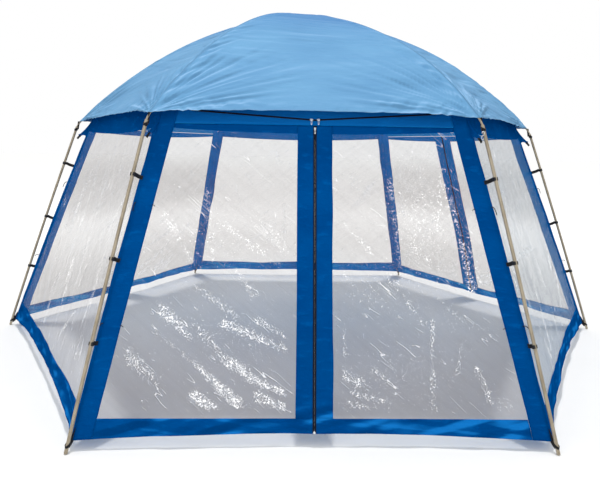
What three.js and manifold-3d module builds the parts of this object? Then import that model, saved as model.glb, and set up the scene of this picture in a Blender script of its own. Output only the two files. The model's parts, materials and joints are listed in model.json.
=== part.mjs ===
// Six-sided screen house: six leaning steel legs, six bent roof rods that meet in a crown hub,
// one domed canopy, three fixed film walls and three zipped double doors.
// Millimetres, +Z up, origin on the ground at the centre. The front door faces -Y.
import * as THREE from 'three';
import { mergeVertices } from 'three/addons/utils/BufferGeometryUtils.js';
import Module from 'manifold-3d';

const wasm = await Module();
wasm.setup();

// Plan and height
const SIDES = 6;
const SECTOR = (2 * Math.PI) / SIDES;
const COS_HALF = Math.cos(SECTOR / 2); // apothem over corner radius
const SIN_HALF = Math.sin(SECTOR / 2);
const SPREAD = 2500; // centre of the house to the centre of a leg's foot
const CROWN_HEIGHT = 2562; // top of the canopy
const ROOF_DROP = 0.246 / 1000; // the ridge falls by this times the radius squared
const EAVE_RADIUS = 1844; // centre of the house to a roof corner
const ROOF_LEVELS = 14;

// Legs and roof rods
const LEG_LEAN = 0.38; // radius lost per unit of height
const LEG_OUTER = 9.5;
const LEG_INNER = 8.3;
const LEG_TOP = 1672;
const PLUG_HEIGHT = 40;
const LEG_FACES = 20;
const ROD_RADIUS = 5.5;
const ROD_INSERT = 70; // length of rod inside the leg
const ROD_DEPTH = 13; // rod's centre line under the canopy's outer face
const ROD_BEND_END = 1780; // radius at which the bend at the eave has become the ridge
const ROD_SIDES = 8;
const ROD_STEPS = 34;
const RIDGE_POINTS = 12; // spans between the points that carry the rod's curve
const ROD_END_GAP = 1; // rod's end to the bottom of its socket

// Crown hub
const HUB_RADIUS = 58;
const HUB_HEIGHT = 34;
const HUB_SOCKET_DEPTH = 34;
const HUB_EDGE = 5; // chamfer
const HUB_FACES = 36;
const SOCKET_FACES = 16;
const SOCKET_PLAY = 1.3;
const HUB_CLEARANCE = 3; // hub under the canopy

// Walls
const CLOTH = 1.5; // thickness of every sewn panel
const WALL_RADIUS = 2478; // corner edge of the walls, carried down to the ground
const WALL_LEAN = 0.426;
const HEM = 55;
const WALL_TOP = 1825;
const DOOR_TOP = 1660; // low enough for an open half to clear the eave
const HEADER_BOTTOM = 1664;
const TOP_ZIP = 1690; // height of the level zip at the middle of the header
const STRIP_ON_DOOR = 94; // corner strip's width on a door wall
const STRIP_ON_PANE = 52; // and on a fixed wall
const SEAM_GAP = 1; // between panels that are sewn or hinged edge to edge
const ZIP_TAPE = 7; // the left half's zip tape, past the middle of the doorway

// Webbing and clips
const WEBBING = 2;
const CLIP_HEIGHTS = { lower: 520, middle: 940, upper: 1380 };
const CLIP_WIDTH = 22;
const CLIP_WALL = 3.4;
const CLIP_PLAY = 0.4;
const CLIP_MOUTH = Math.PI / 3; // half of the angle that the clip leaves open
const FIN_TOP = 1747;
const FIN_BOTTOM = 1600;
const FIN_TIP = new THREE.Vector2(1860, 1580);
const FOOT_TAB = { seamTop: 95, seamBottom: 57, legTop: 45, legBottom: 20 }; // heights
const FOOT_TAB_GAP = 1.5; // foot tab to the leg's surface
const TAB_BITE = 0.8; // how far fin and foot tab reach into the cloth
const CLIP_TAB_EDGE = 2; // the clip's tab is this much lower than the clip at top and bottom
const CLIP_TAB_BITE = 1;
const CLIP_TAB_GAP = 0.5; // tab to the strip's corner
const CLIP_FACES = 18;

// Zip sliders
const SLIDER = { width: 11, length: 20, height: 4.5 };
const PULL = { width: 7, length: 26, thickness: 1.6 };
const SLIDER_LIFT = 0.4; // slider above the panel's face
const TOP_SLIDER_START = 20; // each top slider's distance from the middle when closed

const COLOURS = {
  steel: { color: 0xae9f8f, roughness: 0.45, metalness: 0.5 },
  rod: { color: 0xb9ad9c, roughness: 0.5, metalness: 0.1 },
  plastic: { color: 0x16181b, roughness: 0.5, metalness: 0 },
  canopy: { color: 0x6fb0e2, roughness: 0.7, metalness: 0 },
  trim: { color: 0x034f9a, roughness: 0.7, metalness: 0 },
  film: { color: 0xdfe5ea, roughness: 0.2, metalness: 0 },
  zip: { color: 0xb8bcc0, roughness: 0.3, metalness: 0.9 },
};

const CORNERS = ['right', 'back_right', 'back_left', 'left', 'front_left', 'front_right'];
const DOORS = { front_door: 0, right_door: 2, left_door: 4 }; // sectors turned from the front
const PANES = { right_front_wall: 1, back_wall: 3, left_front_wall: 5 };

const legRadius = (z) => SPREAD - LEG_LEAN * z;
const wallRadius = (z) => WALL_RADIUS - WALL_LEAN * z;
const roofHeight = (r) => CROWN_HEIGHT - ROOF_DROP * r * r;
const roofSlope = (r) => 2 * ROOF_DROP * r;

// The wall's own tilted plane: u to the right seen from outside, v up the slope
const PANEL_LEAN = Math.atan(WALL_LEAN * COS_HALF);
const slope = (z) => z / Math.cos(PANEL_LEAN);
const halfWidth = (z) => wallRadius(z) / 2;

const house = new THREE.Group();

function named(name, geometry, look) {
  const mesh = new THREE.Mesh(geometry, new THREE.MeshStandardMaterial(look));
  mesh.name = name;
  return mesh;
}

function toSolid(geometry) {
  const bare = geometry.index ? geometry.toNonIndexed() : geometry.clone();
  bare.deleteAttribute('normal');
  bare.deleteAttribute('uv');
  const merged = mergeVertices(bare, 1e-3);
  const vertProperties = new Float32Array(merged.attributes.position.array);
  const triVerts = new Uint32Array(merged.index.array);
  return new wasm.Manifold(new wasm.Mesh({ numProp: 3, vertProperties, triVerts }));
}

function toGeometry(solid) {
  const mesh = solid.getMesh();
  const geometry = new THREE.BufferGeometry();
  geometry.setAttribute('position', new THREE.BufferAttribute(mesh.vertProperties, 3));
  geometry.setIndex(new THREE.BufferAttribute(mesh.triVerts, 1));
  return geometry;
}

// A flat plate from an outline in the X-Z plane, from y = 0 to y = thickness
function plate(points, thickness) {
  const shape = new THREE.Shape(points.map(([x, z]) => new THREE.Vector2(x, z)));
  const geometry = new THREE.ExtrudeGeometry(shape, { depth: thickness, bevelEnabled: false });
  return geometry.rotateX(Math.PI / 2).translate(0, thickness, 0);
}

// A closed body between level outlines of equal count, each counter-clockwise from above
function loft(rings) {
  const count = rings[0].length;
  const positions = rings.flat().flatMap((p) => [p.x, p.y, p.z]);
  const flat = rings[0].map((p) => new THREE.Vector2(p.x, p.y));
  const caps = THREE.ShapeUtils.triangulateShape(flat, []);
  const last = (rings.length - 1) * count;
  const index = [];
  for (const [a, b, c] of caps) {
    index.push(a, c, b);
    index.push(last + a, last + b, last + c);
  }
  for (let k = 0; k < last; k += count) {
    for (let i = 0; i < count; i += 1) {
      const j = (i + 1) % count;
      index.push(k + i, k + j, k + count + j);
      index.push(k + i, k + count + j, k + count + i);
    }
  }
  const geometry = new THREE.BufferGeometry();
  geometry.setAttribute('position', new THREE.Float32BufferAttribute(positions, 3));
  geometry.setIndex(index);
  return geometry;
}

// A plate that stands in the plane of a corner and its leg
function radialPlate(points, thickness) {
  return plate(points, thickness).translate(0, -thickness / 2, 0);
}

// Leg: a tube closed by a plug at its foot, cut level with the ground
function legGeometry() {
  const tilt = Math.atan(LEG_LEAN);
  const foot = -2 * LEG_OUTER;
  const bed = 10 * LEG_OUTER; // half of the block that cuts the foot level
  const top = LEG_TOP / Math.cos(tilt);
  const profile = [
    [0, foot],
    [LEG_OUTER, foot],
    [LEG_OUTER, top],
    [LEG_INNER, top],
    [LEG_INNER, PLUG_HEIGHT],
    [0, PLUG_HEIGHT],
  ].map(([x, y]) => new THREE.Vector2(x, y));
  const tube = new THREE.LatheGeometry(profile, LEG_FACES).rotateX(Math.PI / 2);
  tube.rotateY(-tilt).translate(SPREAD, 0, 0);
  const ground = new THREE.BoxGeometry(2 * bed, 2 * bed, bed).translate(SPREAD, 0, -bed / 2);
  return toGeometry(toSolid(tube).subtract(toSolid(ground)));
}

// The rod's centre line follows the ridge a little under the canopy
function ridgePoint(r) {
  const out = Math.atan(roofSlope(r));
  const x = r - ROD_DEPTH * Math.sin(out);
  return new THREE.Vector3(x, 0, roofHeight(r) - ROD_DEPTH * Math.cos(out));
}

function rodPath() {
  const path = new THREE.CurvePath();
  const start = LEG_TOP - ROD_INSERT;
  const onLeg = (z) => new THREE.Vector3(legRadius(z), 0, z);
  const bendEnd = ridgePoint(ROD_BEND_END);
  const fall = roofSlope(ROD_BEND_END);
  // where the leg's line meets the ridge's tangent
  const kink = (bendEnd.z + fall * (bendEnd.x - SPREAD)) / (1 - fall * LEG_LEAN);
  path.add(new THREE.LineCurve3(onLeg(start), onLeg(LEG_TOP)));
  path.add(new THREE.QuadraticBezierCurve3(onLeg(LEG_TOP), onLeg(kink), bendEnd));
  const ridge = [];
  const innerEnd = HUB_RADIUS - HUB_SOCKET_DEPTH + ROD_END_GAP;
  for (let i = 0; i <= RIDGE_POINTS; i += 1) {
    ridge.push(ridgePoint(THREE.MathUtils.lerp(ROD_BEND_END, innerEnd, i / RIDGE_POINTS)));
  }
  path.add(new THREE.CatmullRomCurve3(ridge));
  return path;
}

function rodGeometry() {
  const section = new THREE.Shape();
  for (let i = 0; i < ROD_SIDES; i += 1) {
    const a = (i * 2 * Math.PI) / ROD_SIDES;
    const point = [ROD_RADIUS * Math.cos(a), ROD_RADIUS * Math.sin(a)];
    if (i === 0) section.moveTo(...point);
    else section.lineTo(...point);
  }
  section.closePath();
  return new THREE.ExtrudeGeometry(section, {
    steps: ROD_STEPS,
    extrudePath: rodPath(),
    bevelEnabled: false,
  });
}

// Crown hub: a turned cap with six blind sockets
function hubGeometry() {
  const top = CROWN_HEIGHT - CLOTH - HUB_CLEARANCE;
  const profile = [
    [0, top - HUB_HEIGHT],
    [HUB_RADIUS - HUB_EDGE, top - HUB_HEIGHT],
    [HUB_RADIUS, top - HUB_HEIGHT + HUB_EDGE],
    [HUB_RADIUS, top - HUB_EDGE],
    [HUB_RADIUS - HUB_EDGE, top],
    [0, top],
  ].map(([x, y]) => new THREE.Vector2(x, y));
  const cap = new THREE.LatheGeometry(profile, HUB_FACES).rotateX(Math.PI / 2);
  let solid = toSolid(cap);
  const bore = ROD_RADIUS + SOCKET_PLAY;
  const height = ridgePoint(HUB_RADIUS - HUB_SOCKET_DEPTH / 2).z;
  for (let k = 0; k < SIDES; k += 1) {
    const socket = new THREE.CylinderGeometry(bore, bore, HUB_SOCKET_DEPTH * 2, SOCKET_FACES);
    socket.rotateZ(Math.PI / 2).translate(HUB_RADIUS, 0, height);
    socket.rotateZ(k * SECTOR);
    solid = solid.subtract(toSolid(socket));
  }
  return toGeometry(solid);
}

// Canopy: a six-sided dome skin, its ridges over the rods
function canopyGeometry() {
  const outer = [];
  const inner = [];
  for (let i = 0; i <= ROOF_LEVELS; i += 1) {
    const r = (EAVE_RADIUS * i) / ROOF_LEVELS;
    const fall = Math.atan(roofSlope(r) / COS_HALF);
    outer.push(new THREE.Vector2(r, roofHeight(r)));
    inner.push(new THREE.Vector2(r, roofHeight(r) - CLOTH / Math.cos(fall)));
  }
  const profile = [...inner, ...outer.reverse()];
  return new THREE.LatheGeometry(profile, SIDES).rotateX(Math.PI / 2).rotateZ(SECTOR / 2);
}

// Corner strip: cloth folded round the wall's corner, with a fin under the eave and a foot tab
function stripGeometry(widthAhead, widthBehind) {
  const deep = CLOTH / Math.cos(PANEL_LEAN);
  const ahead = new THREE.Vector2(-SIN_HALF, COS_HALF);
  const behind = new THREE.Vector2(-SIN_HALF, -COS_HALF);
  const inAhead = new THREE.Vector2(-COS_HALF, -SIN_HALF);
  const inBehind = new THREE.Vector2(-COS_HALF, SIN_HALF);
  const ring = (z) => {
    const corner = new THREE.Vector2(wallRadius(z), 0);
    const endAhead = corner.clone().addScaledVector(ahead, widthAhead);
    const endBehind = corner.clone().addScaledVector(behind, widthBehind);
    return [
      endBehind,
      corner,
      endAhead,
      endAhead.clone().addScaledVector(inAhead, deep),
      new THREE.Vector2(corner.x - deep / COS_HALF, 0),
      endBehind.clone().addScaledVector(inBehind, deep),
    ].map((p) => new THREE.Vector3(p.x, p.y, z));
  };
  const fin = radialPlate([
    [wallRadius(FIN_TOP) - TAB_BITE, FIN_TOP],
    [wallRadius(FIN_BOTTOM) - TAB_BITE, FIN_BOTTOM],
    [FIN_TIP.x, FIN_TIP.y],
  ], WEBBING);
  const { seamTop, seamBottom, legTop, legBottom } = FOOT_TAB;
  const legFace = (z) => legRadius(z) - LEG_OUTER - FOOT_TAB_GAP;
  const tab = radialPlate([
    [wallRadius(seamTop) - TAB_BITE, seamTop],
    [wallRadius(seamBottom) - TAB_BITE, seamBottom],
    [legFace(legBottom), legBottom],
    [legFace(legTop), legTop],
  ], WEBBING);
  const cloth = toSolid(loft([ring(HEM), ring(WALL_TOP)]));
  return toGeometry(cloth.add(toSolid(fin)).add(toSolid(tab)));
}

// Clip: a C round the leg, and its webbing tab back to the corner strip
function clipGeometry(z) {
  const inner = LEG_OUTER + CLIP_PLAY;
  const outer = inner + CLIP_WALL;
  const shape = new THREE.Shape();
  shape.absarc(0, 0, outer, CLIP_MOUTH, 2 * Math.PI - CLIP_MOUTH, false);
  shape.absarc(0, 0, inner, 2 * Math.PI - CLIP_MOUTH, CLIP_MOUTH, true);
  const ring = new THREE.ExtrudeGeometry(shape, {
    depth: CLIP_WIDTH,
    bevelEnabled: false,
    curveSegments: CLIP_FACES,
  });
  const tilt = Math.atan(LEG_LEAN);
  ring.translate(0, 0, -CLIP_WIDTH / 2).rotateY(-tilt).translate(legRadius(z), 0, z);
  const half = CLIP_WIDTH / 2 - CLIP_TAB_EDGE;
  const reach = inner / Math.cos(tilt) + CLIP_TAB_BITE;
  const start = (h) => [wallRadius(h) + CLIP_TAB_GAP, h];
  const end = (h) => [legRadius(h) - reach, h];
  const tab = radialPlate([start(z - half), end(z - half), end(z + half), start(z + half)], WEBBING);
  return toGeometry(toSolid(ring).add(toSolid(tab)));
}

// A panel in the wall's tilted plane, from its left and right edge at two heights
function panelGeometry(left, right, bottom, top) {
  return plate([
    [left(bottom), slope(bottom)],
    [right(bottom), slope(bottom)],
    [right(top), slope(top)],
    [left(top), slope(top)],
  ], CLOTH);
}

// Slider: a tapered body turned to its zip's direction, and a pull tab that hangs straight down
function sliderGeometry(turn) {
  const { width, length, height } = SLIDER;
  const nose = width / 3;
  const body = plate([
    [-nose, -length / 2],
    [nose, -length / 2],
    [width / 2, 0],
    [width / 2, length / 2 - nose],
    [nose, length / 2],
    [-nose, length / 2],
    [-width / 2, length / 2 - nose],
    [-width / 2, 0],
  ], height).translate(0, -height, 0).rotateY(turn);
  const pull = plate([
    [-PULL.width / 2, -PULL.length],
    [PULL.width / 2, -PULL.length],
    [PULL.width / 2, 0],
    [-PULL.width / 2, 0],
  ], PULL.thickness).translate(0, -height - PULL.thickness / 2, 0);
  return toGeometry(toSolid(body).add(toSolid(pull)));
}

function addSlider(plane, name, u, v, turn) {
  const slider = named(name, sliderGeometry(turn), COLOURS.zip);
  slider.position.set(u, -SLIDER_LIFT, v);
  plane.add(slider);
}

// The tilted plane of the wall that stands so many sectors round from the front
function wallPlane(turns) {
  const sector = new THREE.Group();
  sector.rotation.z = turns * SECTOR;
  const plane = new THREE.Group();
  plane.position.y = -WALL_RADIUS * COS_HALF;
  plane.rotation.x = -PANEL_LEAN;
  sector.add(plane);
  house.add(sector);
  return plane;
}

function addDoor(name, turns) {
  const plane = wallPlane(turns);
  const edge = (z) => halfWidth(z) - STRIP_ON_DOOR - SEAM_GAP;
  const zip = () => ZIP_TAPE;
  const leaf = () => ZIP_TAPE + SEAM_GAP;
  const leftEdge = (z) => -edge(z);
  const left = panelGeometry(leftEdge, zip, HEM, DOOR_TOP);
  const right = panelGeometry(leaf, edge, HEM, DOOR_TOP);
  const header = panelGeometry(leftEdge, edge, HEADER_BOTTOM, WALL_TOP);
  plane.add(named(`${name}_left_half`, left, COLOURS.film));
  plane.add(named(`${name}_right_half`, right, COLOURS.film));
  plane.add(named(`${name}_header`, header, COLOURS.trim));
  addSlider(plane, `${name}_slider`, 0, slope(DOOR_TOP) - SLIDER.length, 0);
  const height = slope(TOP_ZIP);
  addSlider(plane, `${name}_top_left_slider`, -TOP_SLIDER_START, height, Math.PI / 2);
  addSlider(plane, `${name}_top_right_slider`, TOP_SLIDER_START, height, -Math.PI / 2);
}

function addPane(name, turns) {
  const edge = (z) => halfWidth(z) - STRIP_ON_PANE - SEAM_GAP;
  const pane = panelGeometry((z) => -edge(z), edge, HEM, WALL_TOP);
  wallPlane(turns).add(named(name, pane, COLOURS.film));
}

function addCorner(name, k) {
  const corner = new THREE.Group();
  corner.rotation.z = k * SECTOR;
  // doors and fixed walls alternate, so the wide side of the strip does too
  const widths = k % 2 === 0 ? [STRIP_ON_DOOR, STRIP_ON_PANE] : [STRIP_ON_PANE, STRIP_ON_DOOR];
  corner.add(named(`${name}_leg`, legGeometry(), COLOURS.steel));
  corner.add(named(`${name}_roof_rod`, rodGeometry(), COLOURS.rod));
  corner.add(named(`${name}_corner_strip`, stripGeometry(...widths), COLOURS.trim));
  for (const [level, z] of Object.entries(CLIP_HEIGHTS)) {
    corner.add(named(`${name}_${level}_clip`, clipGeometry(z), COLOURS.plastic));
  }
  house.add(corner);
}

house.add(named('canopy', canopyGeometry(), COLOURS.canopy));
house.add(named('crown_hub', hubGeometry(), COLOURS.plastic));
CORNERS.forEach(addCorner);
for (const [name, turns] of Object.entries(DOORS)) addDoor(name, turns);
for (const [name, turns] of Object.entries(PANES)) addPane(name, turns);

export default house;
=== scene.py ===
"""Six-sided screen house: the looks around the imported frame. Metres, +Z up, the front door faces -Y."""
import json
import math

import bpy
import numpy as np
from mathutils import Matrix, Vector
from mathutils.bvhtree import BVHTree


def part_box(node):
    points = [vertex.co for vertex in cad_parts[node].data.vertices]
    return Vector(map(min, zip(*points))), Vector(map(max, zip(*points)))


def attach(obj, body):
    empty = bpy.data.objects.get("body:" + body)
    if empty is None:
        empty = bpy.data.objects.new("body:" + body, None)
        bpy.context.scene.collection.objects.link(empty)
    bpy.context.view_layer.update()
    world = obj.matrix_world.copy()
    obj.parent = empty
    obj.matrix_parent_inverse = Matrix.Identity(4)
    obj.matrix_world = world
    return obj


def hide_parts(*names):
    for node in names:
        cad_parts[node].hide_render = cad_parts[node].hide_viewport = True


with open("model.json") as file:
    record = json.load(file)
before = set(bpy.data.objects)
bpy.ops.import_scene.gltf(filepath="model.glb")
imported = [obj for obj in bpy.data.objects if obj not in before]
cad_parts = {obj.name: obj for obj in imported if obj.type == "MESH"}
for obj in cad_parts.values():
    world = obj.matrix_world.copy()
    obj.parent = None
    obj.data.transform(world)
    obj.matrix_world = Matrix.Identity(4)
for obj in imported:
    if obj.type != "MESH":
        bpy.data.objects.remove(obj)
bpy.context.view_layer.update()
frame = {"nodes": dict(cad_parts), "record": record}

# Plan and height, from the frame
CORNERS = ["right", "back_right", "back_left", "left", "front_left", "front_right"]
SECTOR = math.radians(60)
COS_HALF = math.cos(SECTOR / 2)
SPREAD = frame["record"]["mounts"][0]["pos_m"][0]
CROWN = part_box("canopy")[1].z
EAVE_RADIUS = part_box("canopy")[1].x
EAVE_HEIGHT = 1.7255
ROOF_DROP = (CROWN - EAVE_HEIGHT) / EAVE_RADIUS**2
LEG_LEAN = 0.38
LEG_BOW = 0.007
LEG_RADIUS = 0.0095
LEG_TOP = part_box("right_leg")[1].z
ROD_RADIUS = 0.0055
ROD_DEPTH = 0.013  # of the rods' middles under the ridges
ROD_BEND_AT = 1.78  # radius at which a rod turns down into its leg

# Walls
WALL_RADIUS = 2.478
WALL_LEAN = 0.426
PANEL_LEAN = math.atan(WALL_LEAN * COS_HALF)
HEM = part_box("back_wall")[0].z
WALL_TOP = 1.846
DOOR_TOP = 1.660
TOP_BAND_AT = 1.640  # where the width of a leaf's top band is taken
EYE_LEVEL = 0.9  # where the width of a film is taken
TOP_ZIP = 1.690
TOP_ZIP_RISE = 0.065
STRIP_ON_DOOR = 0.094
STRIP_ON_PANE = 0.052
STRIP_BOW, STRIP_BOW_TOP = 0.012, 1.75  # how far the strips' folded edges bow outwards, and up to what height
BAND_TOP = 0.155
BORDER = 0.098  # cloth on each side of a door's upright zip
ZIP_HALF = 0.008  # half of the upright zip's black width
LEVEL_ZIP_HALF = 0.0045
CLIP_HEIGHTS = {"lower": 0.520, "middle": 0.940, "upper": 1.380}
TAB_FALL = {"lower": 0.006, "middle": 0.018, "upper": 0.024}  # how far a clip's tab falls towards the wall
DOORS = {"front_door": 0, "right_door": 2, "left_door": 4}
PANES = {"right_front_wall": 1, "back_wall": 3, "left_front_wall": 5}


def camera():
    """Standing eye height in front of the door, turned a little to the right and down."""
    data = bpy.data.cameras.new("camera")
    data.sensor_width = 36
    data.lens = 35.56
    cam = bpy.data.objects.new("camera", data)
    yaw, pitch, roll = 0.0275, -0.1551, 0.0157
    forward = Vector((math.sin(yaw) * math.cos(pitch), math.cos(yaw) * math.cos(pitch), math.sin(pitch)))
    level = Vector((math.cos(yaw), -math.sin(yaw), 0))
    right = level * math.cos(roll) + level.cross(forward) * math.sin(roll)
    turn = Matrix((right, right.cross(forward), -forward)).transposed().to_4x4()
    cam.matrix_world = Matrix.Translation((-0.1692, -4.9572, 1.5368)) @ turn
    bpy.context.scene.collection.objects.link(cam)
    bpy.context.scene.camera = cam


# ---------------------------------------------------------------- helpers


class Field:
    """Smooth random heights from -1 to 1 over a plane, the same ones each run."""

    def __init__(self, seed, size=97):
        self.size = size
        self.lattice = np.random.default_rng(seed).uniform(-1, 1, (size, size))

    def at(self, i, j):
        return self.lattice[i % self.size, j % self.size]

    def __call__(self, x, y):
        i, j = np.floor(x).astype(int), np.floor(y).astype(int)
        fx, fy = x - i, y - j
        fx, fy = fx * fx * (3 - 2 * fx), fy * fy * (3 - 2 * fy)
        low = self.at(i, j) * (1 - fx) + self.at(i + 1, j) * fx
        high = self.at(i, j + 1) * (1 - fx) + self.at(i + 1, j + 1) * fx
        return low * (1 - fy) + high * fy


def smooth(x, low, high):
    """A smooth step from 0 at low to 1 at high."""
    t = np.clip((x - low) / (high - low), 0, 1)
    return t * t * (3 - 2 * t)


def unit(v):
    return v / np.linalg.norm(v, axis=-1, keepdims=True)


def make(name, points, faces, material, uv=None, shade=True):
    """A mesh object from points, faces of any size, and a UV for each point."""
    mesh = bpy.data.meshes.new(name)
    counts = np.array([len(f) for f in faces], np.int32)
    loops = np.concatenate([np.asarray(f, np.int32) for f in faces])
    mesh.vertices.add(len(points))
    mesh.vertices.foreach_set("co", np.asarray(points, np.float32).ravel())
    mesh.loops.add(len(loops))
    mesh.loops.foreach_set("vertex_index", loops)
    mesh.polygons.add(len(faces))
    mesh.polygons.foreach_set("loop_start", np.concatenate([[0], np.cumsum(counts)[:-1]]).astype(np.int32))
    mesh.polygons.foreach_set("use_smooth", np.full(len(faces), shade))
    if uv is not None:
        layer = mesh.uv_layers.new(name="cloth")
        layer.data.foreach_set("uv", np.asarray(uv, np.float32)[loops].ravel())
    mesh.update(calc_edges=True)
    mesh.validate()
    obj = bpy.data.objects.new(name, mesh)
    bpy.context.scene.collection.objects.link(obj)
    mesh.materials.append(material)
    return obj


def grid_faces(rows, cols, wrap=False):
    """Quads of a grid of points; with wrap, the last column joins the first."""
    i, j = np.meshgrid(np.arange(rows - 1), np.arange(cols if wrap else cols - 1), indexing="ij")
    a, b = i * cols + j, i * cols + (j + 1) % cols
    return np.stack([a, b, b + cols, a + cols], -1).reshape(-1, 4)


def grid(name, points, material, uv, flip=False):
    faces = grid_faces(*points.shape[:2])
    return make(name, points.reshape(-1, 3), faces[:, ::-1] if flip else faces, material, uv.reshape(-1, 2))


def per_point(obj, name, values):
    """A number for each of the mesh's points, for its material."""
    attribute = obj.data.attributes.new(name, "FLOAT", "POINT")
    attribute.data.foreach_set("value", np.asarray(values, np.float32).ravel())


def seam_layer(obj, seam):
    """The distances from the sewn edges, as a second UV map."""
    layer = obj.data.uv_layers.new(name="seam")
    index = np.empty(len(obj.data.loops), np.int32)
    obj.data.loops.foreach_get("vertex_index", index)
    layer.data.foreach_set("uv", np.asarray(seam, np.float32).reshape(-1, 2)[index].ravel())


def thicken(obj, thickness, offset=1.0, backing=None):
    """Gives a sheet its thickness; its inner face can be of another material."""
    m = obj.modifiers.new("thickness", "SOLIDIFY")
    m.thickness = thickness
    m.offset = offset
    if backing:
        obj.data.materials.append(backing)
        m.material_offset = 1


def sweep(name, path, section, material, hint, scale=None):
    """A solid with that section along a path, its up near the hint. scale is its size at each point."""
    path, section = np.asarray(path, float), np.asarray(section, float)
    tangent = unit(np.gradient(path, axis=0))
    side = unit(np.cross(tangent, np.broadcast_to(np.asarray(hint, float), path.shape)))
    up = np.cross(side, tangent)
    scale = np.ones(len(path)) if scale is None else np.asarray(scale)
    rings = path[:, None] + scale[:, None, None] * (
        side[:, None] * section[None, :, :1] + up[:, None] * section[None, :, 1:]
    )
    n, k = len(path), len(section)
    faces = [list(f) for f in grid_faces(n, k, wrap=True)]
    faces += [list(range(k))[::-1], [(n - 1) * k + i for i in range(k)]]
    along = np.concatenate([[0], np.cumsum(np.linalg.norm(np.diff(path, axis=0), axis=1))])
    around = np.arange(k) / k * 2 * math.pi * np.abs(section).max()
    uv = np.stack(np.broadcast_arrays(along[:, None], around[None]), -1).reshape(-1, 2)
    return make(name, rings.reshape(-1, 3), faces, material, uv)


def circle(radius, sides=16):
    a = np.arange(sides) * 2 * math.pi / sides
    return np.stack([np.cos(a), np.sin(a)], -1) * radius


def strap_section(width, thickness):
    """A flat strap's section with its edges rounded."""
    w, t = width / 2, thickness / 2
    return np.array([(-w + t, -t), (w - t, -t), (w, 0), (w - t, t), (-w + t, t), (-w, 0)])


def upright(section):
    """The section turned so that its width runs along the path's up."""
    return section[::-1, ::-1]


def finish(obj, body, slot, *nodes):
    """The piece's body, and the CAD nodes that it stands for; slot is not used."""
    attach(obj, body)
    if nodes:
        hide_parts(*nodes)
    return obj


def corner_angle(corner):
    return CORNERS.index(corner) * SECTOR


def outwards(corner):
    a = corner_angle(corner)
    return np.array([math.cos(a), math.sin(a), 0.0])


def across(corner):
    a = corner_angle(corner)
    return np.array([-math.sin(a), math.cos(a), 0.0])


def turned(u, y, z, angle):
    """Points at u and y in a plan turned by that angle, and at height z."""
    u, y, z = np.broadcast_arrays(np.asarray(u, float), y, z)
    c, s = math.cos(angle), math.sin(angle)
    return np.stack([u * c - y * s, u * s + y * c, z], -1)


def radial(corner, r, y, z):
    """Points from a corner's own frame: r outwards, y to its left, z up."""
    return turned(r, y, z, corner_angle(corner))


def on_wall(sector, u, z, w=0.0):
    """Points on a wall: u to the right seen from outside, z the height, w out of the wall."""
    y = -COS_HALF * wall_radius(z) - w * math.cos(PANEL_LEAN)
    return turned(u, y, z + w * math.sin(PANEL_LEAN), sector * SECTOR)


def wall_axes(sector):
    """A wall's directions to the right, up its slope and outwards."""
    origin = on_wall(sector, 0.0, 0.0)
    right, up = on_wall(sector, 1.0, 0.0) - origin, unit(on_wall(sector, 0.0, 1.0) - origin)
    return right, up, np.cross(right, up)


def leg_radius(z):
    return SPREAD - LEG_LEAN * z + LEG_BOW * np.sin(np.pi * np.clip(z / LEG_TOP, 0, 1))


def wall_radius(z):
    return WALL_RADIUS - WALL_LEAN * z


def half_width(z):
    return wall_radius(z) / 2


def strip_bow(z):
    return STRIP_BOW * np.sin(math.pi * np.clip(z / STRIP_BOW_TOP, 0, 1))


def slope(z):
    """Length along a wall for that height."""
    return z / math.cos(PANEL_LEAN)


# ---------------------------------------------------------------- materials


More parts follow.
